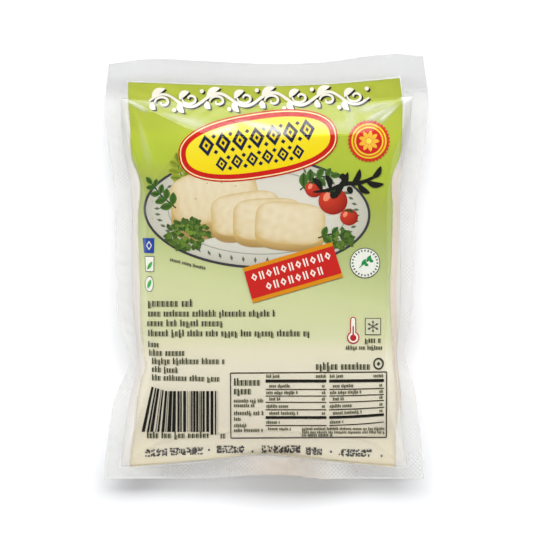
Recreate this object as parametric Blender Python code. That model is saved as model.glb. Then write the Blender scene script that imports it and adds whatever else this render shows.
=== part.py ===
"""Vacuum pack of one halloumi block, lying on its back with the printed side up.

Metres, +Z up. X runs across the pack, +Y towards its top edge, and the origin
is the middle of the pack on the surface that it rests on. The sealed film
pouch is one closed solid: a rim of two welded films all round, and the block
bulging above and below it, with one flat face under the block.
"""

import bmesh
import bpy
import numpy as np

MM = 0.001
SMALL = 1e-6

# Driving sizes of the pack
HALF_WIDTH = 56 * MM
HALF_HEIGHT = 73.4 * MM
BLOCK_THICKNESS = 23 * MM
FACE_CROWN = 2.2 * MM
FACE_UNEVENNESS = 0.25 * MM
FACE_WAVE = 17 * MM
RIM_LEVEL = 10.5 * MM
RIM_THICKNESS = 0.6 * MM

# Outer edge of the welded rim, as (station along the side, place of the edge)
LEFT_EDGE = [
    (-73, -56.1), (-58, -54.6), (-44, -52.0), (-31.5, -47.0), (-20, -50.3),
    (3, -52.0), (32, -52.7), (45, -54.6), (58, -55.7), (73, -54.6),
]
RIGHT_EDGE = [
    (-73, 54.6), (-58, 53.3), (-42, 51.3), (-29, 48.2), (-18, 50.2),
    (0, 51.2), (30, 52.6), (46, 55.2), (58, 56.0), (73, 54.2),
]
BOTTOM_EDGE = [
    (-56, -73.0), (-39, -73.3), (-22, -72.9), (-11, -72.2), (-5, -71.7),
    (11, -71.8), (18, -72.8), (30, -73.3), (40, -73.4), (55, -72.8),
]
TOP_EDGE = [
    (-55, 70.4), (-44, 71.8), (-19, 71.1), (0, 70.4), (12, 70.4),
    (23, 71.1), (39, 73.1), (48, 73.4), (54, 72.7),
]

# Foot of the bulge, where the two films part, in the same form
LEFT_FOOT = [
    (-69, -50.2), (-58, -48.8), (-46, -47.0), (-37, -44.9), (-30, -44.2),
    (-18, -45.4), (0, -46.2), (30, -46.9), (37, -48.3), (46, -49.6), (58, -50.2),
]
RIGHT_FOOT = [
    (-69, 48.8), (-58, 47.2), (-40, 46.2), (-30, 45.2), (-18, 46.0),
    (0, 46.4), (28, 46.4), (36, 47.4), (46, 49.4), (58, 50.4),
]
BOTTOM_FOOT = [
    (-51, -69.2), (-28, -67.6), (-16, -66.3), (-3, -65.0), (9, -65.8),
    (22, -66.8), (34, -67.8), (49, -69.0),
]
TOP_FOOT = [(-51, 58.2), (-20, 57.6), (10, 57.4), (51, 58.8)]
USUAL_SIDE_FOOT = 47 * MM
USUAL_BOTTOM_FOOT = -68 * MM
USUAL_TOP_FOOT = 58 * MM

# Waves of the rim in millimetres: height, then middle and half-width in X and in Y
RIM_WAVES = [
    (3.4, 3, 11, -75, 9),
    (-2.2, 33, 12, -75, 10),
    (-2.6, -40, 20, -75, 12),
    (3.0, -52, 6, -32, 9),
    (-2.4, 52, 6, -30, 9),
    (2.6, 54, 16, 72, 18),
    (-1.8, -56, 16, 70, 20),
    (-1.6, 2, 22, 74, 9),
    (-1.2, -58, 8, 5, 30),
    (-1.2, 58, 8, 5, 30),
]

# How far in from each foot the film reaches the block's full height
SLOPE_WIDTH = {"left": 7.0, "right": 5.5, "top": 11.5, "bottom": 9.5}
CORNER_WIDTH = {
    ("left", "top"): 20, ("right", "top"): 18,
    ("left", "bottom"): 17, ("right", "bottom"): 16,
}
UNDER_SLOPE_SHARE = 0.8
SLOPE_ROUNDING = 1.9
FOOT_FILLET = 0.06
CORNER_BLEND = 7

# Grid lines: shares of the rim's width, then half the places across the bulge, 1 at its foot
RIM_LINES = (0.0, 0.5)
ACROSS = (1.0, 0.975, 0.945, 0.905, 0.86, 0.8, 0.72, 0.62, 0.5, 0.36, 0.22, 0.07)
ALONG = (1.0, 0.98, 0.955, 0.925, 0.885, 0.84, 0.78, 0.71, 0.63, 0.54, 0.44, 0.33, 0.22, 0.11, 0.0)

FILM_COLOUR = (0.62, 0.72, 0.30, 1)


def through(points, at):
    """Smooth curve through (station, value) pairs in millimetres, read in metres."""
    stations, values = np.array(points).T * MM
    slopes = np.gradient(values, stations)
    at = np.clip(at, stations[0], stations[-1])
    left = np.clip(np.searchsorted(stations, at) - 1, 0, len(stations) - 2)
    span = stations[left + 1] - stations[left]
    t = (at - stations[left]) / span
    start = (1 + 2 * t) * (1 - t) ** 2 * values[left] + t * (1 - t) ** 2 * span * slopes[left]
    end = t * t * (3 - 2 * t) * values[left + 1] + t * t * (t - 1) * span * slopes[left + 1]
    return start + end


def lines(half_places, low_edge, low_foot, high_foot, high_edge):
    """Grid lines from one outer edge to the other: across the rim, the bulge and the rim again."""
    inner = [-p for p in half_places] + [p for p in reversed(half_places) if p > 0]
    low_rim = [low_edge + share * (low_foot - low_edge) for share in RIM_LINES]
    bulge = [low_foot + (place + 1) / 2 * (high_foot - low_foot) for place in inner]
    high_rim = [high_edge + share * (high_foot - high_edge) for share in reversed(RIM_LINES)]
    return np.array(low_rim + bulge + high_rim)


def plan_grid():
    """X and Y of every grid point, columns from left to right and rows from bottom to top."""
    usual_x = lines(ACROSS, -HALF_WIDTH, -USUAL_SIDE_FOOT, USUAL_SIDE_FOOT, HALF_WIDTH)
    usual_y = lines(ALONG, -HALF_HEIGHT, USUAL_BOTTOM_FOOT, USUAL_TOP_FOOT, HALF_HEIGHT)
    sides = [through(line, usual_y) for line in (LEFT_EDGE, LEFT_FOOT, RIGHT_FOOT, RIGHT_EDGE)]
    ends = [through(line, usual_x) for line in (BOTTOM_EDGE, BOTTOM_FOOT, TOP_FOOT, TOP_EDGE)]
    return lines(ACROSS, *sides), lines(ALONG, *ends).T


def inset(x, y):
    """Distance of every grid point in from each foot line, below 0 out on the rim."""
    foot = len(RIM_LINES)
    return {
        "left": x - x[foot],
        "right": x[-1 - foot] - x,
        "top": y[:, [-1 - foot]] - y,
        "bottom": y - y[:, [foot]],
    }


def way_up(x, y, share):
    """0 at the foot of the bulge, 1 and more where the film lies on the block's face.

    Each side and each corner facet is a ramp, and the lowest ramp wins, with its
    meeting line rounded. share narrows the ramps.
    """
    away = {side: np.maximum(d, SMALL) for side, d in inset(x, y).items()}
    ramps = [away[side] / (width * MM * share) for side, width in SLOPE_WIDTH.items()]
    for (across, along), width in CORNER_WIDTH.items():
        ramps.append((away[across] + away[along]) / (np.sqrt(2) * width * MM * share))
    return sum(ramp ** -CORNER_BLEND for ramp in ramps) ** (-1 / CORNER_BLEND)


def rise(ramp):
    """Share of the full height: a small fillet at the foot, steep, then rounding over into the face."""
    ramp = ramp * ramp / (ramp + FOOT_FILLET)
    return 1 - (1 - np.clip(ramp, 0, 1)) ** SLOPE_ROUNDING


def bump(value, centre, half_width):
    """Smooth hump of height 1 that fades to nothing at about twice half_width."""
    return np.exp(-(((value - centre * MM) / (half_width * MM)) ** 2))


def rim_level(x, y):
    """Height of the rim's middle plane: it waves, and it curls where the outline is drawn in."""
    humps = sum(
        height * MM * bump(x, across, wide) * bump(y, along, long)
        for height, across, wide, along, long in RIM_WAVES
    )
    return RIM_LEVEL + humps


def block_face(x, y):
    """Height of the block's upper face, slightly crowned and a little uneven."""
    crown = FACE_CROWN * ((x / USUAL_SIDE_FOOT) ** 2 + (y / USUAL_BOTTOM_FOOT) ** 2)
    across, along = x / FACE_WAVE, y / FACE_WAVE
    uneven = np.sin(1.3 * across + 0.6) * np.cos(along) + np.cos(0.8 * across - 1.25 * along)
    return BLOCK_THICKNESS - crown + FACE_UNEVENNESS * uneven


def film_heights(x, y):
    """Heights of the upper and the lower film over the plan."""
    level = rim_level(x, y)
    upper = rise(way_up(x, y, 1))
    under = rise(way_up(x, y, UNDER_SLOPE_SHARE))
    top = (level + RIM_THICKNESS / 2) * (1 - upper) + block_face(x, y) * upper
    return top, (level - RIM_THICKNESS / 2) * (1 - under)


def sheet_faces(columns, rows, first, upward):
    """Quads of one film, wound to face up or down."""
    faces = []
    for i in range(columns - 1):
        for j in range(rows - 1):
            a = first + i * rows + j
            quad = (a, a + rows, a + rows + 1, a + 1)
            faces.append(quad if upward else quad[::-1])
    return faces


def rim_faces(columns, rows, under):
    """Quads that close the cut edge of the rim between the two films."""
    around = [i * rows for i in range(columns)]
    around += [(columns - 1) * rows + j for j in range(1, rows)]
    around += [i * rows + rows - 1 for i in range(columns - 2, -1, -1)]
    around += list(range(rows - 2, 0, -1))
    return [(a, under + a, under + b, b) for a, b in zip(around, around[1:] + around[:1])]


def flatten_base(mesh):
    """Joins the level faces under the block into one resting face."""
    work = bmesh.new()
    work.from_mesh(mesh)
    level = [f for f in work.faces if all(v.co.z < SMALL for v in f.verts)]
    bmesh.ops.dissolve_faces(work, faces=level, use_verts=False)
    work.to_mesh(mesh)
    work.free()


def film_material():
    material = bpy.data.materials.new("printed film")
    material.use_nodes = True
    shader = material.node_tree.nodes["Principled BSDF"]
    shader.inputs["Base Color"].default_value = FILM_COLOUR
    shader.inputs["Roughness"].default_value = 0.2
    shader.inputs["Metallic"].default_value = 0
    return material


def make_pouch():
    x, y = plan_grid()
    x -= (x.min() + x.max()) / 2
    y -= (y.min() + y.max()) / 2
    top, bottom = film_heights(x, y)
    columns, rows = x.shape
    points = np.concatenate([
        np.stack([x, y, top], axis=-1).reshape(-1, 3),
        np.stack([x, y, bottom], axis=-1).reshape(-1, 3),
    ])
    under = columns * rows
    faces = sheet_faces(columns, rows, 0, True) + sheet_faces(columns, rows, under, False)
    faces += rim_faces(columns, rows, under)
    mesh = bpy.data.meshes.new("sealed_pouch")
    mesh.from_pydata(points.tolist(), [], faces)
    flatten_base(mesh)
    mesh.shade_smooth()
    mesh.set_sharp_from_angle(angle=np.radians(50))
    mesh.materials.append(film_material())
    pouch = bpy.data.objects.new("sealed_pouch", mesh)
    bpy.context.scene.collection.objects.link(pouch)
    return pouch


for old in list(bpy.data.objects):
    bpy.data.objects.remove(old)
make_pouch()
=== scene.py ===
import bpy
import numpy as np
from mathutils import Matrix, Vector


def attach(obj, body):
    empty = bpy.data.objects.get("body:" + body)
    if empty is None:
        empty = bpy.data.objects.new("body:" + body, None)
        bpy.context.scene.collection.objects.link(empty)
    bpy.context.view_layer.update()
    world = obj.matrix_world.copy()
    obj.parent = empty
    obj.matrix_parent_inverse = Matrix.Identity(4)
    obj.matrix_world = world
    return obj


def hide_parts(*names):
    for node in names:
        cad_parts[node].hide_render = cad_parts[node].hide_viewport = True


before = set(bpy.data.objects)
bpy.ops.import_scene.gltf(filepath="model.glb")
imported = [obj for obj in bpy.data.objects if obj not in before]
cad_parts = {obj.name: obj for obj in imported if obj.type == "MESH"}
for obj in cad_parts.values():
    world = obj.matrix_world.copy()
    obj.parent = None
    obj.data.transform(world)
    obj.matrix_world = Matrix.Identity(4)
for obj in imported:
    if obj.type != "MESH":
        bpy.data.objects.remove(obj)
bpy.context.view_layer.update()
mm = 0.001

# Shapes are worked out in millimetres, and makeMesh turns them into metres. Prints are drawn in
# the picture's pixels, and ontoPack lays them on the pack.

packShape = {
    "thickness": 22.84,     # at the middle of the block, a little under the solid's for the ripples
    "crown": 2.2,           # how much lower the face is at its sides
    "unevenness": 0.25,
    "faceWave": 17.0,
    "rimLevel": 10.5,
    "rimThickness": 0.3,    # two welded films
    "edgeInset": 0.12,      # keeps the cut edge inside the solid's box
    "edgeSpan": {"left": -56.0, "right": 56.0, "bottom": -73.4, "top": 73.4},
    "footSpan": {"left": -47.0, "right": 47.0, "bottom": -68.0, "top": 58.0},
    # outer edge and foot of the bulge, as (station along the side, place), like the solid's
    "edge": {
        "left": [(-73, -56.1), (-58, -54.6), (-44, -52.0), (-31.5, -47.0), (-20, -50.3),
                 (3, -52.0), (32, -52.7), (45, -54.6), (58, -55.7), (73, -54.6)],
        "right": [(-73, 54.6), (-58, 53.3), (-42, 51.3), (-29, 48.2), (-18, 50.2),
                  (0, 51.2), (30, 52.6), (46, 55.2), (58, 56.0), (73, 54.2)],
        "bottom": [(-56, -73.4), (-39, -73.4), (-22, -73.2), (-11, -72.5), (-5, -71.9),
                   (11, -72.0), (18, -73.1), (30, -73.4), (40, -73.4), (55, -73.2)],
        "top": [(-55, 70.4), (-44, 71.8), (-19, 71.1), (0, 70.4), (12, 70.4),
                (23, 71.1), (39, 73.1), (48, 73.4), (54, 72.7)],
    },
    "foot": {
        "left": [(-69, -50.2), (-58, -48.8), (-46, -47.0), (-37, -44.9), (-30, -44.2),
                 (-18, -45.4), (0, -46.2), (30, -46.9), (37, -48.3), (46, -49.6), (58, -50.2)],
        "right": [(-69, 48.8), (-58, 47.2), (-40, 46.2), (-30, 45.2), (-18, 46.0),
                  (0, 46.4), (28, 46.4), (36, 47.4), (46, 49.4), (58, 50.4)],
        "bottom": [(-51, -69.2), (-28, -67.6), (-16, -66.3), (-3, -65.0), (9, -65.8),
                   (22, -66.8), (34, -67.8), (49, -69.0)],
        "top": [(-51, 58.2), (-20, 57.6), (10, 57.4), (51, 58.8)],
    },
    # how far in from each foot the film reaches the face
    "slope": {"left": 7.0, "right": 5.5, "top": 12.6, "bottom": 9.5},
    "corner": {("left", "top"): 25, ("right", "top"): 16.5,
               ("left", "bottom"): 17, ("right", "bottom"): 16},
    "underShare": 0.8,
    "rounding": 1.12,       # 1 is a straight slope with a sharp shoulder
    "sideRounding": 0.65,
    "footFillet": 0.05,
    "cornerBlend": 12,      # higher is a crisper fold between two slopes
    # waves of the rim: height, then middle and half-width in X and in Y
    "rimWaves": [(3.4, 3, 11, -75, 9), (-2.2, 33, 12, -75, 10), (-2.6, -40, 20, -75, 12),
                 (3.0, -52, 6, -32, 9), (-2.4, 52, 6, -30, 9), (2.6, 54, 16, 72, 18),
                 (-1.8, -56, 16, 70, 20), (-1.6, 2, 22, 74, 9), (-1.2, -58, 8, 5, 30),
                 (-1.2, 58, 8, 5, 30)],
    "foldLevels": (14.0, 20.0),      # of a fold's outer and inner end
    # fine ripples: height, pitch and seed
    "crumple": [(0.10, 7, 13), (0.045, 3.1, 17)],
    "crumpleFade": (2, 1.5),         # in from the cut edge and out from the foot
    "slopeRipple": (0.12, 5.5, 3), "faceRipple": (0.05, 15, 4), "underRipple": (0.20, 5, 5),
}

photoFrame = {
    "size": 533,            # pixels each way
    "centre": (266.0, 267.0),
    "pixel": 0.345,         # millimetres at the rim's level
    "distance": 780.0,      # camera over the rim's level
}

# Folds of the film: from pixel, to pixel, height and half-width in millimetres
folds = [
    ((128, 100), (192, 131), 0.40, 0.9), ((129, 101), (178, 122), 0.25, 0.6),
    ((130, 101), (166, 112), 0.18, 0.6), ((128, 100), (157, 172), 0.42, 1.3),
    ((150, 112), (192, 120), 0.14, 0.9), ((411, 95), (371, 117), 0.36, 0.9),
    ((410, 97), (381, 122), 0.32, 0.8), ((408, 96), (352, 112), 0.18, 0.8),
    ((405, 98), (360, 124), 0.24, 0.9), ((407, 101), (402, 165), 0.30, 1.1),
    ((340, 104), (345, 124), 0.10, 1.4), ((287, 101), (292, 126), 0.08, 1.6),
    ((222, 101), (229, 127), 0.10, 1.6), ((133, 152), (145, 186), 0.16, 1.3),
    ((400, 158), (389, 190), 0.16, 1.3), ((137, 346), (168, 396), 0.22, 1.2),
    ((141, 372), (127, 458), 0.20, 1.2), ((397, 350), (384, 392), 0.14, 1.4),
    ((400, 372), (411, 456), 0.22, 1.1), ((127, 462), (168, 436), 0.20, 1.3),
    ((399, 464), (372, 438), 0.20, 1.3), ((236, 470), (262, 446), 0.14, 1.2),
    ((300, 470), (282, 446), 0.14, 1.2),
]

# Streaks of painted highlight, where the film's haze is made whiter and milkier: from pixel,
# to pixel, half-width in millimetres at both ends, and share
paintedHighlightStreaks = [
    ((116, 93), (150, 112), 0.50, 0.80, 0.24), ((148, 109), (212, 128), 0.60, 1.90, 0.15),
    ((122, 100), (176, 105), 0.50, 1.20, 0.12), ((136, 110), (151, 170), 0.55, 1.30, 0.06),
    ((422, 90.5), (400, 100), 0.55, 1.50, 0.50), ((402, 100), (354, 111), 0.45, 1.50, 0.20),
    ((402, 101), (363, 123), 0.45, 1.40, 0.26), ((403, 100), (376, 125), 0.40, 0.90, 0.24),
    ((354, 96), (348, 136), 1.00, 2.80, 0.10),
    # over the plaque
    ((202, 138), (242, 124), 0.60, 1.50, 0.30), ((228, 119), (294, 134), 0.60, 1.60, 0.34),
    ((286, 121), (350, 127), 0.80, 2.00, 0.09),
]

# Painted shade on folds of the clear margin that face away from the light, in the same form
paintedShadeFolds = [((409, 84), (401, 176), 1.40, 0.60, 0.30), ((136, 345), (142, 399), 0.60, 0.60, 0.10),
             ((122, 80), (131, 185), 2.00, 2.00, 0.10)]

# Edges of the printed panel in pixels: its sides as (row, column), its ends as (column, row)
panel = {
    "left": [(81, 128), (98, 128), (126, 130), (162, 133), (174, 138), (222, 138), (282, 140),
             (330, 141.5), (354, 143.8), (366, 146), (380, 142), (392, 139.2), (414, 136),
             (438, 133.4), (450, 131.4), (468, 130)],
    "right": [(77, 399), (99, 402), (126, 402.4), (162, 399), (175, 393.4), (213, 393), (270, 391),
              (290, 390), (330, 391.6), (352, 393), (366, 393.6), (380, 395.4), (400, 397),
              (420, 397), (438, 395.2), (466, 395.6)],
    "top": [(128, 82), (200, 84.5), (266, 86), (330, 84), (399, 78)],
    "bottom": [(130, 467), (173, 463), (225, 458), (258, 454.5), (266, 454.5), (304, 458),
               (340, 462), (395, 467)],
}


def through(points, at):
    # Hermite curve through (station, value) pairs, with each slope taken from its neighbours
    stations, values = np.array(points, float).T
    slopes = np.gradient(values, stations)
    at = np.clip(at, stations[0], stations[-1])
    left = np.clip(np.searchsorted(stations, at) - 1, 0, len(stations) - 2)
    span = stations[left + 1] - stations[left]
    t = (at - stations[left]) / span
    start = (1 + 2 * t) * (1 - t) ** 2 * values[left] + t * (1 - t) ** 2 * span * slopes[left]
    end = t * t * (3 - 2 * t) * values[left + 1] + t * t * (t - 1) * span * slopes[left + 1]
    return start + end


def smooth(low, high, value):
    # 0 up to low, 1 from high on, and 3t^2 - 2t^3 between
    t = np.clip((value - low) / (high - low), 0, 1)
    return t * t * (3 - 2 * t)


def hump(value, centre, halfWidth):
    # Gaussian: e to the minus square of the distance over halfWidth
    return np.exp(-(((value - centre) / halfWidth) ** 2))


def ripples(x, y, height, pitch, seed, count=7):
    # Sum of sine waves of about one pitch in seeded directions, over the root of their number
    draw = np.random.default_rng(seed)
    total = np.zeros(np.broadcast(x, y).shape)
    for turn, phase, stretch in draw.uniform((0, 0, 0.7), (np.pi, 2 * np.pi, 1.4), (count, 3)):
        total += np.sin(2 * np.pi * (x * np.cos(turn) + y * np.sin(turn)) / (pitch * stretch) + phase)
    return height * total / np.sqrt(count)


def insets(x, y, line="foot"):
    # Distance in from each side's line along X or Y
    lines = packShape[line]
    return {
        "left": x - through(lines["left"], y),
        "right": through(lines["right"], y) - x,
        "bottom": y - through(lines["bottom"], x),
        "top": through(lines["top"], x) - y,
    }


def wayUp(away, share=1.0):
    # Each side and each corner facet is a ramp, distance over width, and the lowest wins: the
    # soft minimum is (sum of ramp^-n)^(-1/n); to the left and right a ramp rounds over as
    # r + c * r * (1 - r) up to 1
    away = {side: np.maximum(distance, 1e-3) for side, distance in away.items()}
    ramps = []
    for side, width in packShape["slope"].items():
        ramp = away[side] / (width * share)
        rounding = packShape["sideRounding"] if side in ("left", "right") else 0
        ramps.append(ramp + rounding * ramp * np.maximum(1 - ramp, 0))
    for (across, along), width in packShape["corner"].items():
        ramps.append((away[across] + away[along]) / (np.sqrt(2) * width * share))
    blend = packShape["cornerBlend"]
    return sum(ramp ** -blend for ramp in ramps) ** (-1 / blend)


def rise(ramp):
    # A small fillet, then 1 - (1 - ramp)^rounding
    ramp = ramp * ramp / (ramp + packShape["footFillet"])
    return 1 - (1 - np.clip(ramp, 0, 1)) ** packShape["rounding"]


def rimLevel(x, y):
    # Flat level plus a Gaussian hump for each wave
    waves = sum(height * hump(x, across, wide) * hump(y, along, long)
                for height, across, wide, along, long in packShape["rimWaves"])
    return packShape["rimLevel"] + waves


def rimCrumple(x, y):
    # Shallow ripples of the rim that die away at its cut edge and at the foot of the bulge
    toEdge = np.minimum.reduce(list(insets(x, y, "edge").values()))
    toFoot = -np.minimum.reduce(list(insets(x, y).values()))
    ripple = sum(ripples(x, y, *wave) for wave in packShape["crumple"])
    edgeFade, footFade = packShape["crumpleFade"]
    return ripple * smooth(0, edgeFade, toEdge) * smooth(0, footFade, toFoot)


def blockFace(x, y):
    # Paraboloid crown plus two crossed sines for unevenness
    span = packShape["footSpan"]
    crown = packShape["crown"] * ((x / span["right"]) ** 2 + (y / span["bottom"]) ** 2)
    across, along = x / packShape["faceWave"], y / packShape["faceWave"]
    uneven = np.sin(1.3 * across + 0.6) * np.cos(along) + np.cos(0.8 * across - 1.25 * along)
    return packShape["thickness"] - crown + packShape["unevenness"] * uneven


def pixelAt(level):
    # A pixel's size on a level plane, which shrinks as the plane nears the camera
    return photoFrame["pixel"] * (1 - (level - packShape["rimLevel"]) / photoFrame["distance"])


def planOf(px, py, level):
    # A pixel's place on a level plane: its distance from the picture's centre times its size there
    cx, cy = photoFrame["centre"]
    return (px - cx) * pixelAt(level), (cy - py) * pixelAt(level)


def intoPanel(x, y, level):
    # Least distance in from the printed panel's edges, in pixels
    cx, cy = photoFrame["centre"]
    px, py = cx + x / pixelAt(level), cy - y / pixelAt(level)
    away = [px - through(panel["left"], py), through(panel["right"], py) - px,
            py - through(panel["top"], px), through(panel["bottom"], px) - py]
    return np.minimum.reduce(away)


def foldRelief(x, y):
    # Each fold is a ridge: height * e^-(d/w)^1.4 beside its line, with sin^0.6 along it
    relief = np.zeros(np.broadcast(x, y).shape)
    for start, end, height, halfWidth in folds:
        along, beside = besideLine(x, y, start, end)
        ends = np.sin(np.pi * np.clip(along, 0, 1)) ** 0.6
        relief += height * np.exp(-((beside / halfWidth) ** 1.4)) * ends
    return relief


def besideLine(x, y, start, end):
    # Shares along a line between two pixels, and distances from it
    x0, y0 = planOf(*start, packShape["foldLevels"][0])
    x1, y1 = planOf(*end, packShape["foldLevels"][1])
    length = np.hypot(x1 - x0, y1 - y0)
    along = ((x - x0) * (x1 - x0) + (y - y0) * (y1 - y0)) / length ** 2
    return along, np.abs((x - x0) * (y1 - y0) - (y - y0) * (x1 - x0)) / length


def plainFilm(x, y):
    # The film without its fine folds: rim and block face, mixed by how far up the bulge a point is
    up = rise(wayUp(insets(x, y)))
    level = rimLevel(x, y) + rimCrumple(x, y) + packShape["rimThickness"] / 2
    return level * (1 - up) + blockFace(x, y) * up


def upperFilm(x, y):
    # The plain film plus folds, and ripples that are strongest half way up the slopes, as
    # u * (1 - u), and others that grow towards the face
    up = rise(wayUp(insets(x, y)))
    fine = (1 / 12 + up * (1 - up)) * ripples(x, y, *packShape["slopeRipple"])
    fine += up * ripples(x, y, *packShape["faceRipple"])
    return plainFilm(x, y) + foldRelief(x, y) + fine * smooth(0, 0.2, up)


def lowerFilm(x, y):
    # The same bulge downwards, with its flat base at 0
    up = rise(wayUp(insets(x, y), packShape["underShare"]))
    level = rimLevel(x, y) + rimCrumple(x, y) - packShape["rimThickness"] / 2
    fine = up * (1 - up) * ripples(x, y, *packShape["underRipple"])
    return np.maximum(level * (1 - up) + fine, 0)


def spanned(s, t, line):
    # Patch between four lines: x runs from the left one to the right one as s goes from 0 to 1,
    # and y from the bottom one to the top one with t
    span, lines = packShape[line + "Span"], packShape[line]
    usualX = span["left"] + s * (span["right"] - span["left"])
    usualY = span["bottom"] + t * (span["top"] - span["bottom"])
    inset = packShape["edgeInset"] if line == "edge" else 0
    x = (1 - s) * (through(lines["left"], usualY) + inset) + s * (through(lines["right"], usualY) - inset)
    y = (1 - t) * (through(lines["bottom"], usualX) + inset) + t * (through(lines["top"], usualX) - inset)
    return x, y


def unitGrid(columns, rows):
    # Shares from 0 to 1 along both ways of a grid
    return np.meshgrid(np.linspace(0, 1, columns), np.linspace(0, 1, rows), indexing="ij")


def twoFaces(x, y, top, bottom):
    # Points of an upper and a lower grid over one plan
    return np.concatenate([np.stack([x, y, z], axis=-1).reshape(-1, 3) for z in (top, bottom)])


def gridQuads(columns, rows, first=0, closed=False):
    # Corner numbers of a grid's quads, its points running row by row within each column
    i = np.arange(columns if closed else columns - 1)[:, None]
    j = np.arange(rows if closed else rows - 1)[None, :]
    nextI, nextJ = (i + 1) % columns, (j + 1) % rows
    corners = [i * rows + j, nextI * rows + j, nextI * rows + nextJ, i * rows + nextJ]
    return first + np.stack([corner + 0 * (i + j) for corner in corners], axis=-1).reshape(-1, 4)


def slabQuads(columns, rows, first, under):
    # A grid facing up, its copy facing down at numbers higher by under, and the wall round them
    border = first + np.concatenate([
        np.arange(columns) * rows,
        (columns - 1) * rows + np.arange(1, rows),
        np.arange(columns - 2, -1, -1) * rows + rows - 1,
        np.arange(rows - 2, 0, -1),
    ])
    following = np.roll(border, -1)
    wall = np.stack([border, border + under, following + under, following], axis=-1)
    top = gridQuads(columns, rows, first)
    return np.concatenate([top, (top + under)[:, ::-1], wall])


def makeMesh(name, points, quads, material, flat=False, **colours):
    # Points in millimetres, an array of quads, and named colours for each point
    mesh = bpy.data.meshes.new(name)
    mesh.vertices.add(len(points))
    mesh.vertices.foreach_set("co", (points * mm).astype(np.float32).ravel())
    mesh.loops.add(quads.size)
    mesh.loops.foreach_set("vertex_index", quads.astype(np.int32).ravel())
    mesh.polygons.add(len(quads))
    mesh.polygons.foreach_set("loop_start", np.arange(0, quads.size, 4, dtype=np.int32))
    mesh.polygons.foreach_set("use_smooth", np.full(len(quads), not flat))
    for label, tints in colours.items():
        layer = mesh.attributes.new(label, "FLOAT_COLOR", "POINT")
        layer.data.foreach_set("color", tints.astype(np.float32).ravel())
    mesh.update(calc_edges=True)
    mesh.materials.append(material)
    piece = bpy.data.objects.new(name, mesh)
    bpy.context.scene.collection.objects.link(piece)
    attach(piece, "root")
    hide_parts("sealed_pouch")
    print(name, len(quads) * 2, "triangles")
    return piece


# Colours and materials

def linear(hexColour):
    # sRGB hex to linear red, green, blue and alpha
    channels = np.array([int(hexColour[i:i + 2], 16) for i in (0, 2, 4)]) / 255
    curve = np.where(channels <= 0.04045, channels / 12.92, ((channels + 0.055) / 1.055) ** 2.4)
    return np.append(curve, 1.0)


def shade(near, far, amount):
    # From one hex colour to another as a grid of amounts goes from 0 to 1
    near, far = linear(near), linear(far)
    return near + (far - near) * np.clip(amount, 0, 1)[..., None]


def addNode(tree, kind, links=None, values=None, **settings):
    # Capitalised settings and values go to sockets, the other settings to the node itself, and
    # links maps this node's sockets to the sockets that feed them
    node = tree.nodes.new("ShaderNode" + kind)
    for name, setting in settings.items():
        if name[0].isupper():
            node.inputs[name.replace("_", " ")].default_value = setting
        else:
            setattr(node, name, setting)
    for socket, number in (values or {}).items():
        node.inputs[socket].default_value = number
    for socket, source in (links or {}).items():
        tree.links.new(source, node.inputs[socket])
    return node


def newMaterial(name):
    # An empty material and its node tree
    material = bpy.data.materials.new(name)
    material.use_nodes = True
    material.node_tree.nodes.clear()
    return material, material.node_tree


def finishMaterial(tree, shader):
    # The shader goes to the output
    addNode(tree, "OutputMaterial", {"Surface": shader.outputs[0]})


def addRamp(tree, source, stops):
    # Colours at positions from 0 to 1, mixed in between
    ramp = addNode(tree, "ValToRGB", {"Fac": source})
    elements = ramp.color_ramp.elements
    elements.remove(elements[1])
    for number, (position, colour) in enumerate(stops):
        element = elements.new(position) if number else elements[0]
        element.position = position
        element.color = colour
    return ramp.outputs[0]


def clearFilm(name, look):
    # Polyethylene film, cast and drawn over the block: clear, with a mirror that grows towards
    # grazing angles as base + rest * facing^5; each mesh carries the colour of its milkiness, and
    # how milky it is as the alpha
    material, tree = newMaterial(name)
    # the milk colour also carries painted highlight and painted shade, laid on the meshes
    milk = addNode(tree, "Attribute", attribute_name="milk")
    facing = addNode(tree, "LayerWeight", Blend=0.5).outputs["Facing"]
    edge = addNode(tree, "Math", {0: facing}, {1: 5.0}, operation="POWER")
    share = addNode(tree, "Math", {0: edge.outputs[0]},
                    {1: look["edgeMirror"], 2: look["mirror"]}, operation="MULTIPLY_ADD")
    clear = addNode(tree, "BsdfTransparent", Color=linear(look["tint"]))
    haze = addNode(tree, "BsdfDiffuse", {"Color": milk.outputs["Color"]})
    mirror = addNode(tree, "BsdfGlossy", Roughness=look["roughness"])
    body = addNode(tree, "MixShader",
                   {0: milk.outputs["Alpha"], 1: clear.outputs[0], 2: haze.outputs[0]})
    mixed = addNode(tree, "MixShader",
                    {0: share.outputs[0], 1: body.outputs[0], 2: mirror.outputs[0]})
    finishMaterial(tree, mixed)
    return material


def addNoise(tree, size, detail):
    # Noise on the object's own coordinates, about as coarse as a size in millimetres
    place = addNode(tree, "TexCoord").outputs["Object"]
    noise = addNode(tree, "TexNoise", {"Vector": place}, Scale=1 / (size * mm), Detail=detail)
    return noise.outputs[0]


def printedInk(name, look):
    # Flexographic ink on the inside of the film: flat colour, faintly mottled where it took
    # unevenly, with the gloss left to the film over it
    material, tree = newMaterial(name)
    ink = addNode(tree, "Attribute", attribute_name="ink").outputs["Color"]
    depth = addNode(tree, "MapRange", {"Value": addNoise(tree, look["mottle"], 3.0)},
                    {"To Min": 1 - look["unevenness"], "To Max": 1 + look["unevenness"]})
    colour = addNode(tree, "VectorMath", {0: ink, "Scale": depth.outputs[0]}, operation="SCALE")
    shader = addNode(tree, "BsdfPrincipled", {"Base Color": colour.outputs[0]},
                     {"Specular IOR Level": look["specular"]}, Roughness=look["roughness"])
    finishMaterial(tree, shader)
    return material


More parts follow.
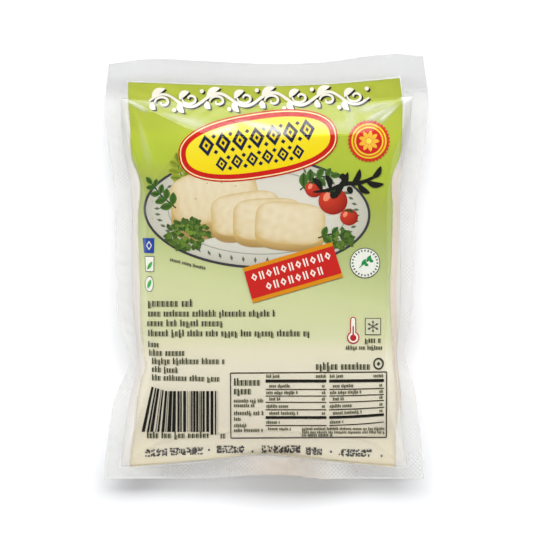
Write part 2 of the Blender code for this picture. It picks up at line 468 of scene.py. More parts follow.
def pressedCurd(name, look):
    # Halloumi, scalded and pressed curd: dense, milky and slightly yellow, with fine pits and
    # the moist sheen of its brine
    material, tree = newMaterial(name)
    stops = [(0.3, linear(look["dark"])), (0.7, linear(look["pale"]))]
    colour = addRamp(tree, addNoise(tree, look["cloud"], 4.0), stops)
    grain = addNoise(tree, look["grain"], 5.0)
    bump = addNode(tree, "Bump", {"Height": grain}, Strength=0.25, Distance=0.3 * mm)
    shader = addNode(tree, "BsdfPrincipled",
                     {"Base Color": colour, "Normal": bump.outputs[0]},
                     Roughness=look["roughness"], Subsurface_Weight=look["milkiness"],
                     Subsurface_Radius=(3 * mm, 2.2 * mm, 1.5 * mm), Subsurface_Scale=1.0)
    finishMaterial(tree, shader)
    return material


# milk: colour of the haze, and a greyer one for painted shade at the upper end, which runs over
# two rows in millimetres; haze: its share beside the print and over it; curd: colour and share of the strip
# beside the print
filmLook = {"tint": "fefefe", "milk": ("f8f7f3", "ebebe7"), "upper": (30, 58), "haze": (0.48, 0.003),
            "roughness": 0.12, "mirror": 0.04, "edgeMirror": 0.1, "curd": ("e6d2b8", 0.6)}
weldLook = {"tint": "fdfdfd", "milk": ("e9e9e7", "bababa"), "upper": (56, 64), "haze": (0.35, 0.015),
            "roughness": 0.25, "mirror": 0.02, "edgeMirror": 0.3, "curd": ("e6d2b8", 0.0)}
inkLook = {"mottle": 1.1, "unevenness": 0.03, "roughness": 0.55, "specular": 0.05}
cheeseLook = {"dark": "f0e8da", "pale": "f9f4ea", "cloud": 9.0, "grain": 0.9,
              "roughness": 0.42, "milkiness": 0.15}
filmMaterial = clearFilm("clear polyethylene film", filmLook)
weldMaterial = clearFilm("knurled heat weld", weldLook)
inkMaterial = printedInk("flexographic ink", inkLook)
cheeseMaterial = pressedCurd("pressed halloumi curd", cheeseLook)


# The cheese

cheeseBlock = {"gap": 0.95, "underGap": 0.4, "leastHalf": 0.15, "shrink": 1.1, "columns": 120, "rows": 150}


def makeCheese():
    # The space between the two films less a gap, on a plan drawn in from the foot lines; the
    # grid crowds to the sides as 0.5 - 0.5 cos(pi u)
    grid = unitGrid(cheeseBlock["columns"], cheeseBlock["rows"])
    s, t = [0.5 - 0.5 * np.cos(np.pi * share) for share in grid]
    x, y = spanned(s, t, "foot")
    x = x + cheeseBlock["shrink"] * (1 - 2 * s)
    y = y + cheeseBlock["shrink"] * (1 - 2 * t)
    top = plainFilm(x, y) - cheeseBlock["gap"]
    bottom = lowerFilm(x, y) + cheeseBlock["underGap"]
    middle, least = (top + bottom) / 2, cheeseBlock["leastHalf"]
    points = twoFaces(x, y, np.maximum(top, middle + least), np.minimum(bottom, middle - least))
    makeMesh("halloumiBlock", points, slabQuads(*x.shape, 0, x.size), cheeseMaterial)


makeCheese()


# The films over and under the block

filmSheet = {
    "thickness": 0.08, "front": (180, 240), "back": (96, 126),
    # the curd's strip: pixels out from the print, and where it starts and ends in millimetres
    "stripOut": (-8, -5), "stripIn": (1.5, 0), "stripFoot": (-54, -44), "stripHead": (40, 28),
    "stripLeft": 0.35, "stripAcross": (-20, 20),     # its share at the left, and where it grows to 1
    "printBorder": (-1.5, 0.5),                      # pixels over which the haze changes its share
}


def milkAt(x, y, level, look):
    # Colour and share of the haze: another share over the print, another, greyer colour at the upper
    # end as painted shade, and the curd's yellow in a strip beside the print, more to the right
    beside, over = look["haze"]
    inward = intoPanel(x, y, level)
    milk = shade(*look["milk"], smooth(*look["upper"], y))
    curd, strip = look["curd"]
    strip = strip * smooth(*filmSheet["stripOut"], inward) * smooth(*filmSheet["stripIn"], inward)
    strip = strip * smooth(*filmSheet["stripFoot"], y) * smooth(*filmSheet["stripHead"], y)
    least = filmSheet["stripLeft"]
    strip = (strip * (least + (1 - least) * smooth(*filmSheet["stripAcross"], x)))[..., None]
    milk += (linear(curd) - milk) * strip
    milk[..., 3] = beside + (over - beside) * smooth(*filmSheet["printBorder"], inward)
    return milk


def leftBesideLines(x, y, lines):
    # What is left beside each line: 1 - amount * e^-(d/w)^2, with a width that changes towards its
    # far end; it fades in over the first half and out at the end
    left = np.ones(x.shape)
    for start, end, near, far, amount in lines:
        along, beside = besideLine(x, y, start, end)
        ends = smooth(0, 0.5, along) * smooth(1, 0.7, along)
        left *= 1 - amount * hump(beside, 0, near + (far - near) * np.clip(along, 0, 1)) * ends
    return left


def makeFilm(name, height, grid, facing):
    # A closed skin: the film's outer face, and its inner face one thickness further in; on the
    # upper film, streaks of painted highlight are milkier and whiter, and folds painted in shade darker
    x, y = spanned(*unitGrid(*grid), "foot")
    z = height(x, y)
    faces = (z, z - filmSheet["thickness"]) if facing == "up" else (z + filmSheet["thickness"], z)
    milk = milkAt(x, y, z, filmLook)
    if facing == "up":
        left = leftBesideLines(x, y, paintedHighlightStreaks)
        white = linear(filmLook["milk"][0])[0]
        # painted highlight: along the streaks the haze turns whiter and milkier
        milk[..., :3] += (white - milk[..., :3]) * np.minimum(1, 5 * (1 - left))[..., None]
        milk[..., 3] = 1 - (1 - milk[..., 3]) * left
        # painted shade on the folds that face away from the light
        milk[..., :3] *= leftBesideLines(x, y, paintedShadeFolds)[..., None]
    milk = np.tile(milk.reshape(-1, 4), (2, 1))
    quads = slabQuads(*grid, 0, x.size)
    piece = makeMesh(name, twoFaces(x, y, *faces), quads, filmMaterial, milk=milk)


makeFilm("frontFilm", upperFilm, filmSheet["front"], "up")
makeFilm("backFilm", lowerFilm, filmSheet["back"], "down")


# The welded rim

weld = {
    "along": {"bottom": 320, "right": 420, "top": 320, "left": 420}, "across": 24,
    "pitch": 1.05,          # of the knurled heat bar, a little coarser than the real 0.8 to show
    "depth": 0.035, "bottomDepth": 0.075,
    "smoothEdge": 1.0, "smoothFoot": 1.3,
    "usual": 0.08, "sides": 0.40,    # its share between its patches, and in those of the sides
    "sidePatches": (16, 11), "patchRipple": (0.2, 1.3),      # their pitch and seed, and their span
    # rows between which the sides' knurl, its depth and the haze give way to the lower seal's
    "patchRows": (-60, -67), "depthRows": (-58, -66), "milkRows": (-62, -68),
    # patches of the lower seal: middle, half-width and share
    "lowerPatches": [(-27.3, 7.0, 0.50), (-8.0, 4.5, 0.55), (24.5, 6.5, 1.00), (53.0, 5.0, 1.00)],
    # the pillows' extra milkiness is partly the weld's own and partly a painted highlight of the knurl
    "milkSwing": 0.24,      # how much milkier the pillows are than the ridges
    # shares of the usual haze in the lower seal: all along, more at the left, more in its middle;
    # hump: middle and half-width; then the middle, half-width and share of a painted highlight patch
    "lowerMilk": (0.70, 0.65, 0.85), "middleMilk": "d0c5b9", "hump": (6, 15),
    "paintedGlint": (23.0, 5.5, 0.75), "leftRises": (-32, -44), "leftFalls": (-58, -52),
    # lines of painted highlight, milkier: share, then distance from the lip or the foot, half-width and
    # where it starts
    "lines": 0.5, "lipHighlightLine": (0.4, 0.4, 28, 40), "footHighlightLine": (0.5, 0.5, 14, 24),
}


def knurl(x, y, toEdge, toFoot):
    # A diamond pattern, sin a * sin b on two axes, in seeded patches along the sides and set ones
    # along the lower seal, and none at the smooth outer lip and foot
    a, b = [np.sqrt(2) * np.pi * distance / weld["pitch"] for distance in (x, y)]
    band = smooth(weld["smoothEdge"] * 0.6, weld["smoothEdge"] * 1.4, toEdge)
    band = band * smooth(weld["smoothFoot"] * 0.6, weld["smoothFoot"] * 1.4, toFoot)
    upper = weld["sides"] * smooth(*weld["patchRipple"], ripples(x, y, 1, *weld["sidePatches"]))
    lower = sum(amount * hump(x, middle, halfWidth) for middle, halfWidth, amount in weld["lowerPatches"])
    share = weld["usual"] + upper + (lower - upper) * smooth(*weld["patchRows"], y)
    return share * band * np.sin(a) * np.sin(b)


def lowerSeal(x, y, milk, toEdge, toFoot):
    # The lower seal is clearer than the sides, less so to the left, in its pinker middle and in a
    # patch of painted highlight, with milkier lines of painted highlight along its lip and along the print
    lower = smooth(*weld["milkRows"], y)
    middle = hump(x, *weld["hump"])
    usual, left, more = weld["lowerMilk"]
    share = usual + left * smooth(*weld["leftRises"], x) * smooth(*weld["leftFalls"], x) + more * middle
    share += weld["paintedGlint"][2] * hump(x, *weld["paintedGlint"][:2])
    for away, (place, halfWidth, *start) in ((toEdge, weld["lipHighlightLine"]), (toFoot, weld["footHighlightLine"])):
        share += weld["lines"] * hump(away, place, halfWidth) * smooth(*start, np.abs(x))
    clouded = milk[..., 3] * (1 + lower * (share - 1))
    pinker = linear(weld["middleMilk"])[:3] - milk[..., :3]
    colour = milk[..., :3] + pinker * (lower * middle)[..., None]
    return np.concatenate([colour, clouded[..., None]], axis=-1)


def makeRim():
    # A ring swept anticlockwise round the pack: its section runs in along the top film, and back
    # out along the lower one
    walks = {
        "bottom": lambda w: (w, 0 * w), "right": lambda w: (1 + 0 * w, w),
        "top": lambda w: (1 - w, 1 + 0 * w), "left": lambda w: (0 * w, 1 - w),
    }
    borders = [walks[side](np.arange(count) / count) for side, count in weld["along"].items()]
    s, t = np.concatenate(borders, axis=1)[:, :, None]
    edge, foot = np.array(spanned(s, t, "edge")), np.array(spanned(s, t, "foot"))
    inward = np.linspace(0, 1, weld["across"])[None, None, :]
    x, y = edge + inward * (foot - edge)
    toEdge, toFoot = [np.hypot(x - line[0], y - line[1]) for line in (edge, foot)]
    pattern = knurl(x, y, toEdge, toFoot)
    deeper = (weld["bottomDepth"] - weld["depth"]) * smooth(*weld["depthRows"], y)
    relief = pattern * (weld["depth"] + deeper)
    top = np.stack([x, y, upperFilm(x, y) + relief], axis=-1)
    bottom = np.stack([x, y, lowerFilm(x, y) + relief], axis=-1)
    section = np.concatenate([top, bottom[:, ::-1]], axis=1)
    milk = lowerSeal(x, y, milkAt(x, y, packShape["rimLevel"], weldLook), toEdge, toFoot)
    # milkier pillows of the knurl, partly a painted highlight
    milk[..., 3] *= 1 + weld["milkSwing"] * pattern
    milk = np.concatenate([milk, milk[:, ::-1]], axis=1).reshape(-1, 4)
    quads = gridQuads(*section.shape[:2], closed=True)
    piece = makeMesh("weldedRim", section.reshape(-1, 3), quads, weldMaterial, milk=milk)


makeRim()


# Prints

printing = {
    "faceDepth": 0.60, "rimDepth": 0.26,     # of the ground under the film's outer face
    "layer": 0.05, "lift": 0.4,              # a layer's step, and the share used inside a piece
    "thickness": 0.012,
    "firstLevel": 20.0,                      # from which the print's height is searched
    "bulgeFoot": 0.3,                        # way up the bulge at which the face's depth is reached
    "cell": 1.5,                             # longest quad side in pixels, but for large discs
}


def ontoPack(px, py, layer):
    # Follows each pixel's ray down to the print: place and height are found from each other,
    # three times over
    level = np.full(px.shape, printing["firstLevel"])
    for _ in range(3):
        x, y = planOf(px, py, level)
        onBulge = smooth(0, printing["bulgeFoot"], wayUp(insets(x, y)))
        depth = printing["rimDepth"] + (printing["faceDepth"] - printing["rimDepth"]) * onBulge
        level = plainFilm(x, y) - depth + printing["layer"] * layer
    return np.stack([x, y, level + foldRelief(x, y) * onBulge], axis=-1)


def ink(shape, layer, colour):
    # One patch of ink: its two grids of pixels, its layer, and a hex colour or a grid of colours
    return (*shape, layer, linear(colour) if isinstance(colour, str) else colour)


def inked(marks, colours):
    # Patches for marks: each is a shape, its numbers, its layer, and its colour's name
    return [ink(shape(*numbers), layer, colours[name]) for shape, numbers, layer, name in marks]


def printPiece(name, patches):
    # Each patch is a thin closed slab on its layer, a hair above the patch before it
    patches = list(patches)
    total = sum(patch[0].size for patch in patches)
    quads, colours, layers = [], [], []
    first = 0
    for number, (px, py, layer, colour) in enumerate(patches):
        columns, rows = px.shape
        slab = slabQuads(columns, rows, first, total)
        # rows of a picture run downwards, so a grid that turns clockwise there faces up
        turning = np.sum(np.diff(px, axis=0)[:, :-1] * np.diff(py, axis=1)[:-1]
                         - np.diff(px, axis=1)[:-1] * np.diff(py, axis=0)[:, :-1])
        quads.append(slab[:, ::-1] if turning > 0 else slab)
        layers.append(np.full(px.size, layer + printing["lift"] * number / len(patches)))
        colours.append(np.broadcast_to(colour, (columns, rows, 4)).reshape(-1, 4))
        first += px.size
    px = np.concatenate([patch[0].ravel() for patch in patches])
    py = np.concatenate([patch[1].ravel() for patch in patches])
    top = ontoPack(px, py, np.concatenate(layers))
    points = np.concatenate([top, top - np.array([0, 0, printing["thickness"]])])
    tints = np.concatenate(colours * 2)
    piece = makeMesh(name, points, np.concatenate(quads), inkMaterial, flat=True, ink=tints)


# Shapes of ink, each two grids of pixels; functions that draw several yield them one by one

def steps(length, least=2, cell=0):
    # Points along a length so that no cell is longer than it may be
    return max(least, int(np.ceil(length / (cell or printing["cell"]))) + 1)


def around(count):
    # Angles all round, in radians
    return np.arange(count) * 2 * np.pi / count


def turned(cx, cy, turn, u, v):
    # Local u to the right and v down, turned anticlockwise by degrees about a centre
    c, s = np.cos(np.radians(turn)), np.sin(np.radians(turn))
    return cx + u * c + v * s, cy - u * s + v * c


def between(corners, s, t):
    # Bilinear place between upper left, upper right, lower right and lower left: s to the right,
    # t down
    return [(1 - t) * ((1 - s) * a + s * b) + t * ((1 - s) * d + s * c) for a, b, c, d in zip(*corners)]


def quad(corners):
    # Patch between four corners, its grid as fine as its longest sides need
    (x0, y0), (x1, y1), (x2, y2), (x3, y3) = corners
    across = max(np.hypot(x1 - x0, y1 - y0), np.hypot(x2 - x3, y2 - y3))
    down = max(np.hypot(x3 - x0, y3 - y0), np.hypot(x2 - x1, y2 - y1))
    return between(corners, *unitGrid(steps(across), steps(down)))


def bar(x0, y0, x1, y1):
    # Rectangle between two corners
    return quad([(x0, y0), (x1, y0), (x1, y1), (x0, y1)])


def lozenge(cx, cy, a, b, turn=0.0):
    # Rhombus from its half-axes, turned by degrees
    return quad([turned(cx, cy, turn, u, v) for u, v in ((-a, 0), (0, -b), (a, 0), (0, b))])


def disc(cx, cy, a, b=None, turn=0.0, power=2.0, wobble=0.0, lobes=5, cell=0):
    # A square bent round, u sqrt(1 - v^2 / 2) by v sqrt(1 - u^2 / 2), then swollen by r^2 towards
    # the superellipse of its power and by wobble * r^2 sin(lobes * angle)
    b = a if b is None else b
    count = steps(2 * max(a, b), 6 + 3 * (lobes if wobble else 0), cell)
    u, v = np.meshgrid(np.linspace(-1, 1, count), np.linspace(-1, 1, count), indexing="ij")
    x, y = u * np.sqrt(1 - v * v / 2), v * np.sqrt(1 - u * u / 2)
    angle = np.arctan2(y, x)
    outline = (np.abs(np.cos(angle)) ** power + np.abs(np.sin(angle)) ** power) ** (-1 / power)
    swell = 1 + (x * x + y * y) * (outline - 1 + wobble * np.sin(lobes * angle))
    return turned(cx, cy, turn, a * x * swell, b * y * swell)


def ring(cx, cy, a, b, width, turn=0.0):
    # An ellipse's outline, width wide
    angles = np.linspace(0, 2 * np.pi, steps(2 * np.pi * max(a, b), 8))
    angles, half = np.meshgrid(angles, np.linspace(-width / 2, width / 2, steps(width)), indexing="ij")
    return turned(cx, cy, turn, (a + half) * np.cos(angles), (b + half) * np.sin(angles))


def marksAlong(points):
    # Length of a line up to each of its points
    return np.concatenate([[0], np.cumsum(np.hypot(*np.diff(points, axis=0).T))])


def stroke(points, width, taper=0.0):
    # A ribbon along a smooth curve through the points, its half-width w/2 * sin(pi t)^taper
    points = np.array(points, float)
    marks = marksAlong(points)
    at = np.linspace(0, marks[-1], steps(marks[-1], 5))
    x, y = [through(np.stack([marks, values], axis=-1), at) for values in points.T]
    dx, dy = np.gradient(x, at), np.gradient(y, at)
    half = width / 2 * np.maximum(np.sin(np.pi * at / marks[-1]), 0.02) ** taper
    across = np.linspace(-1, 1, steps(width, 3))[None, :]
    px = x[:, None] - across * (half * dy / np.hypot(dx, dy))[:, None]
    py = y[:, None] + across * (half * dx / np.hypot(dx, dy))[:, None]
    return px, py


def leaf(x0, y0, x1, y1, width, bend=0.0):
    # A ribbon pointed at both ends, its middle moved sideways by bend times its length
    middle = ((x0 + x1) / 2 - bend * (y1 - y0), (y0 + y1) / 2 + bend * (x1 - x0))
    return stroke([(x0, y0), middle, (x1, y1)], width, 0.75)


def rimward(shape):
    # 0 in the middle of a disc's grid and 1 at its rim
    u, v = [np.linspace(-1, 1, count) for count in shape[0].shape]
    return np.maximum(np.abs(u)[:, None], np.abs(v)[None, :])


def sideward(shape):
    # 0 along the middle of a stroke's grid and 1 at its sides
    return np.abs(np.linspace(-1, 1, shape[0].shape[1]))[None, :] + 0 * shape[0]


# The ground colour, green that fades to cream, partly print and partly painted light: its lowest
# rows are paler to make up for the shade on the lower slope

ground = {
    "columns": 186, "rows": 260, "layer": -3.2,
    "across": (128, 399), "down": (81, 467),     # pixels at its corners
    # (row, colour) of the fade, which runs slightly downhill to the right between some rows
    "fade": [(98, "b1bc3c"), (106, "abb73e"), (126, "abb73e"), (136, "b0bf3c"), (165, "a9bb3a"),
             (190, "a4b04e"), (225, "abb76c"), (255, "b7c284"), (290, "ccd29c"), (335, "d6d8ac"),
             (350, "e2ddc0"), (372, "e4dec8"), (425, "dcd4c0"), (438, "e8dfc7"), (452, "efe6cd"),
             (468, "eee1bd")],
    "tilt": 0.16, "tiltFrom": (110, 220), "tiltTo": (350, 300),
}


def fadeAt(px, py):
    # The colours of the fade, mixed linearly between its rows
    rows, colours = zip(*ground["fade"])
    tilt = ground["tilt"] * smooth(*ground["tiltFrom"], py) * smooth(*ground["tiltTo"], py)
    row = py + tilt * (photoFrame["centre"][0] - px)
    return np.stack([np.interp(row, rows, channel) for channel in zip(*map(linear, colours))], axis=-1)


def groundPatches():
    # Patch between the panel's four edges
    s, t = unitGrid(ground["columns"], ground["rows"])
    usualX = ground["across"][0] + s * (ground["across"][1] - ground["across"][0])
    usualY = ground["down"][0] + t * (ground["down"][1] - ground["down"][0])
    px = (1 - s) * through(panel["left"], usualY) + s * through(panel["right"], usualY)
    py = (1 - t) * through(panel["top"], usualX) + t * through(panel["bottom"], usualX)
    return [ink((px, py), ground["layer"], fadeAt(px, py))]


printPiece("printGround", groundPatches())


# A white scroll with a dark drop shadow across the top

scroll = {
    "from": (149, 101.0), "to": (369, 97.5), "waves": 4, "swing": 6.5, "stem": 3.0,
    # curls: first radius, how much of it is lost, half turns, width over height, and line
    "curl": 6.4, "tightening": 0.8, "halfTurns": 2.1, "curlStretch": 1.3, "curlWidth": 2.5,
    "curlDrop": 1.6, "berry": 2.1, "berryAway": (11.5, 7.6),
    "leafLength": 13.0, "leafWidth": 6.2, "shorter": 0.72, "leans": {-1: 0.55, 1: -0.1},
    "white": "ebe6d9", "shadow": "20241a", "drop": (1.7, 1.3),
}


def scrollShapes():
    # The stem is a sine about a straight line; each half wave holds a curl, whose radius falls
    # evenly, and sends a pair of leaves out where the stem crosses the line
    (x0, y0), (x1, y1) = scroll["from"], scroll["to"]
    halves = 2 * scroll["waves"]
    t = np.linspace(0, 1, 8 * halves + 1)
    swing = -scroll["swing"] * np.sin(np.pi * halves * t)
    yield stroke(np.stack([x0 + t * (x1 - x0), y0 + t * (y1 - y0) + swing], axis=-1), scroll["stem"], 0.12)
    turn = np.linspace(0, scroll["halfTurns"] * np.pi, 14)
    radius = scroll["curl"] * (1 - turn / turn[-1] * scroll["tightening"])
    for half in range(halves):
        side = 1 if half % 2 == 0 else -1
        middle, start = (half + 0.5) / halves, half / halves
        cx, cy = x0 + middle * (x1 - x0), y0 + middle * (y1 - y0) + side * scroll["curlDrop"]
        curl = [cx - radius * np.cos(turn) * scroll["curlStretch"], cy - side * radius * np.sin(turn)]
        yield stroke(np.stack(curl, axis=-1), scroll["curlWidth"], 0.15)
        bx, by = x0 + start * (x1 - x0) + 3, y0 + start * (y1 - y0)
        for away, lean in scroll["leans"].items():
            reach = scroll["leafLength"] * (1.0 if away == -side else scroll["shorter"])
            yield leaf(bx, by + away, bx + reach * (0.45 + lean), by + away * reach * 0.95,
                       scroll["leafWidth"], 0.18 * away)
        right, down = scroll["berryAway"]
        yield disc(cx + right, cy + side * down, scroll["berry"])


def scrollPatches():
    # The shapes moved by the drop, in its shadow's colour, and then in white
    dx, dy = scroll["drop"]
    dark = [ink((px + dx, py + dy), 1.0, scroll["shadow"]) for px, py in scrollShapes()]
    return dark + [ink(shape, 1.9, scroll["white"]) for shape in scrollShapes()]


printPiece("printScroll", scrollPatches())


# A yellow plaque with a band of embroidery lozenges

plaque = {
    "centre": (258, 145.5), "half": (74, 27), "turn": 9.0, "power": 2.4,
    "red": "c4170f", "pale": "efe3a8", "yellow": "ecd202", "sheenYellow": "f3e234", "navy": "15193c",
    # outlines: growth in pixels and colour; rows: how far down, count, pitch and half-axes
    "outlines": [(6.2, "red"), (4.8, "pale"), (3.6, "red")],
    "large": (-8.0, 7, 17.0, 8.0, 11.0), "small": (12.5, 6, 15.5, 6.2, 7.6),
    "hollow": [(1, 6.0, "navy"), (0.52, 6.5, "yellow"), (0.24, 7.0, "navy")],     # shares, layers
    "faceInset": 1.2, "tick": 2.4, "tickAway": 0.72, "cell": 2.1,
}


def plaquePatches():
    # Outlines from the outside in, then two rows of hollow lozenges with small ones between
    (cx, cy), (a, b), turn = plaque["centre"], plaque["half"], plaque["turn"]
    for number, (growth, colour) in enumerate(plaque["outlines"]):
        shape = disc(cx, cy, a + growth, b + growth, turn, plaque["power"], cell=plaque["cell"])
        yield ink(shape, 4.0 + 0.4 * number, plaque[colour])
    inset = plaque["faceInset"]
    face = disc(cx, cy, a - inset, b - inset, turn, plaque["power"], cell=plaque["cell"])
    # the face is paler towards its upper left: a painted highlight
    sheen = smooth(cy + b, cy - b, face[1] + 0.15 * (face[0] - cx))
    yield ink(face, 5.4, shade(plaque["yellow"], plaque["sheenYellow"], sheen))
    for v, count, pitch, wide, high in (plaque["large"], plaque["small"]):
        for k in range(count):
            u = (k - (count - 1) / 2) * pitch
            x, y = turned(cx, cy, turn, u, v)
            for share, layer, colour in plaque["hollow"]:
                yield ink(lozenge(x, y, wide * share, high * share, turn), layer, plaque[colour])
            if k == 0:
                continue
            for side in (-1, 1):
                x, y = turned(cx, cy, turn, u - pitch / 2, v + side * high * plaque["tickAway"])
                tick = lozenge(x, y, plaque["tick"], plaque["tick"], turn)
                yield ink(tick, 6.0, plaque["navy"])


printPiece("printPlaque", plaquePatches())


# A red rosette with a daisy

rosette = {
    "centre": (369, 141), "scallops": 34, "scallop": 0.035,
    "rings": [(20.6, "c8321c"), (17.6, "e6cf2c"), (16.2, "d8611c"), (14.4, "ead23a"), (13.0, "c8201c")],
    "petals": 9, "petalEnds": (2.4, 10.6), "petalWidth": 4.2, "petal": "f0b83a",
    "heartRadius": 2.9, "heart": "f4dc52",
}


def rosettePatches():
    # Discs one on another, the largest scalloped, and petals around a heart
    cx, cy = rosette["centre"]
    near, far = rosette["petalEnds"]
    for number, (radius, colour) in enumerate(rosette["rings"]):
        wobble = 0.0 if number else rosette["scallop"]
        shape = disc(cx, cy, radius, wobble=wobble, lobes=rosette["scallops"])
        yield ink(shape, 1 + 0.4 * number, colour)
    for angle in around(rosette["petals"]):
        c, s = np.cos(angle), np.sin(angle)
        shape = leaf(cx + near * c, cy + near * s, cx + far * c, cy + far * s, rosette["petalWidth"])
        yield ink(shape, 3.2, rosette["petal"])
    yield ink(disc(cx, cy, rosette["heartRadius"]), 3.8, rosette["heart"])


printPiece("printRosette", rosettePatches())


# The food picture: an oval platter with a block, a fan of slices, tomatoes and herbs

platter = {
    "centre": (257, 212), "half": (111, 54), "turn": -2.0,
    "rimColour": "3c3c42", "plate": "bdbbab", "platePale": "d9d6c9", "well": "a3a498",
    "rim": 2.6, "cell": 2.0, "wellAt": (0.8, 0.78), "wellLine": 1.2,
    # lozenges round the rim: colour, count, place as shares of the half-axes, and half-axes
    "motif": "5f6a54", "motifs": 52, "motifAt": (0.9, 0.89), "motifHalf": (3.2, 1.5),
}
picture = {
    "face": "e2d5b4", "faceEdge": "cdb47e", "side": "c9ab6c", "sideDark": "a98a52", "pit": "b7985a",
    "grain": 0.10, "grainPitch": 9,
    # piles: power of their outline and cells, then centre, half-axes, turn, height and layer
    "pilePower": 3.4, "pileCell": 2.2,
    "block": (214, 195, 44, 26, 13, 16, 2.0),
    "slices": [(246, 213, 35, 21, 8, 7, 2.8), (268, 219, 35, 21, 2, 7, 3.2), (290, 223, 35, 21, -5, 7, 3.6)],
    "tomatoes": [(333, 201, 14.5, 3.0), (349, 217, 9.0, 3.4), (314, 189, 9.0, 2.6)],
    "tomato": "c83a22", "tomatoDark": "8e1a0e", "tomatoLight": "eb8a6c", "calyx": "2c4a1c",
    "mintDark": "1f3d18", "mint": "4c7426", "mintLight": "7fa03a", "mintPale": "a0a52c",
    "pits": ((186, 180), (236, 208), (7, 2)),    # box from and to, and how many places
    "pitHalf": (0.9, 0.6),
    # sprigs: angle of the leaves, then stem points, pairs of leaves, their length and width, the
    # colours and the layer
    "leafTurn": 52,
    "sprigs": [
        ([(176, 208), (162, 196), (152, 184)], 4, 13, 7.5, "mint", "mintDark", 2.2),
        ([(186, 182), (180, 172), (178, 162)], 3, 14, 8.5, "mintPale", "mint", 1.2),
        ([(300, 190), (316, 178), (330, 176)], 4, 15, 9.0, "mint", "mintDark", 1.4),
        ([(318, 238), (332, 234), (346, 236)], 3, 11, 6.5, "mint", "mintDark", 4.2),
    ],
    # tufts of parsley: length and width of a leaf, then centre, spread, leaves and layer
    "blade": (6, 4.2),
    "tufts": [(187, 234, 17, 150, 3.9), (340, 239, 9, 50, 4.2)],
}


def tuft(cx, cy, spread, count, layer):
    # Small leaves pointing away from the middle, the outer and darker ones first
    draw = np.random.default_rng(count)
    for k in range(count):
        out = spread * (1 - k / count) ** 0.6
        angle = draw.uniform(0, 2 * np.pi)
        x, y = cx + 1.15 * out * np.cos(angle), cy + 0.75 * out * np.sin(angle)
        way = angle + draw.normal(0, 0.6)
        length, width = picture["blade"]
        blade = leaf(x, y, x + length * np.cos(way), y + length * np.sin(way), width)
        tone = draw.uniform(0.0, 0.8) ** 1.6 * (0.4 + 0.6 * k / count)
        colours = shade(picture["mintDark"], picture["mintLight"], tone + 0.25 * sideward(blade))
        yield ink(blade, layer + 0.25 * k / count, colours)


def pile(cx, cy, a, b, turn, height, layer):
    # A slab seen from above and in front: its outline drawn out downwards by its height, darker
    # towards the plate, and then its face, browner towards the rim
    face = disc(cx, cy, a, b, turn, picture["pilePower"], cell=picture["pileCell"])
    low = smooth(-0.04, 0.04, np.linspace(-1, 1, face[1].shape[1]))[None, :]
    side = (face[0], face[1] + height * low)
    down = side[1] - cy - b + 0.2 * b * ((face[0] - cx) / a) ** 2
    sideColour = shade(picture["side"], picture["sideDark"], 0.15 + down / height)
    drawn = ripples(*face, picture["grain"], picture["grainPitch"], int(cx))
    drawn += 0.25 * smooth(cy - b, cy + b, face[1])
    faceColour = shade(picture["face"], picture["faceEdge"], rimward(face) ** 7 + drawn)
    return [ink(side, layer, sideColour), ink(face, layer + 0.05, faceColour)]


def tomato(cx, cy, radius, layer):
    # A ball lit from the upper left: darker with distance from the bright side
    ball = disc(cx, cy, radius, radius * 0.93)
    away = np.hypot(ball[0] - cx + 0.4 * radius, ball[1] - cy + 0.4 * radius) / (1.5 * radius)
    yield ink(ball, layer, shade(picture["tomato"], picture["tomatoDark"], away ** 1.5))
    glint = disc(cx - 0.42 * radius, cy - 0.3 * radius, 0.22 * radius, 0.34 * radius, -30)
    yield ink(glint, layer + 0.1, picture["tomatoLight"])
    reach = 0.62 * radius
    for angle in np.radians((200, 245, 290, 335, 20)):
        tip = (cx + reach * np.cos(angle), cy - reach + 0.6 * reach * np.sin(angle))
        yield ink(leaf(cx, cy - reach, *tip, 0.2 * radius), layer + 0.2, picture["calyx"])


def herbLeaf(x, y, dx, dy, width, tones, layer):
    # A leaf that is darker along its vein
    shape = leaf(x, y, x + dx, y + dy, width)
    return ink(shape, layer, shade(*tones, sideward(shape) ** 0.6))


def sprig(points, pairs, length, width, colour, dark, layer):
    # Leaves in pairs up a stem, each at an angle to it and smaller towards the tip
    points = np.array(points, float)
    marks = marksAlong(points)
    tones = picture[dark], picture[colour]
    yield ink(stroke(points, 1.4), layer, picture[dark])
    for k in range(pairs):
        at = marks[-1] * (k + 0.5) / pairs
        x, y = [np.interp(at, marks, values) for values in points.T]
        nx, ny = [np.interp(at + 1, marks, values) for values in points.T]
        reach = length * (1 - 0.45 * k / pairs)
        for side in (-1, 1):
            angle = np.arctan2(ny - y, nx - x) + side * np.radians(picture["leafTurn"])
            dx, dy = reach * np.cos(angle), reach * np.sin(angle)
            yield herbLeaf(x, y, dx, dy, width * (1 - 0.4 * k / pairs), tones, layer + 0.15)
    dx, dy = points[-1] - points[-2]
    share = 0.7 * length / np.hypot(dx, dy)
    yield herbLeaf(*points[-1], share * dx, share * dy, width * 0.7, tones, layer + 0.15)


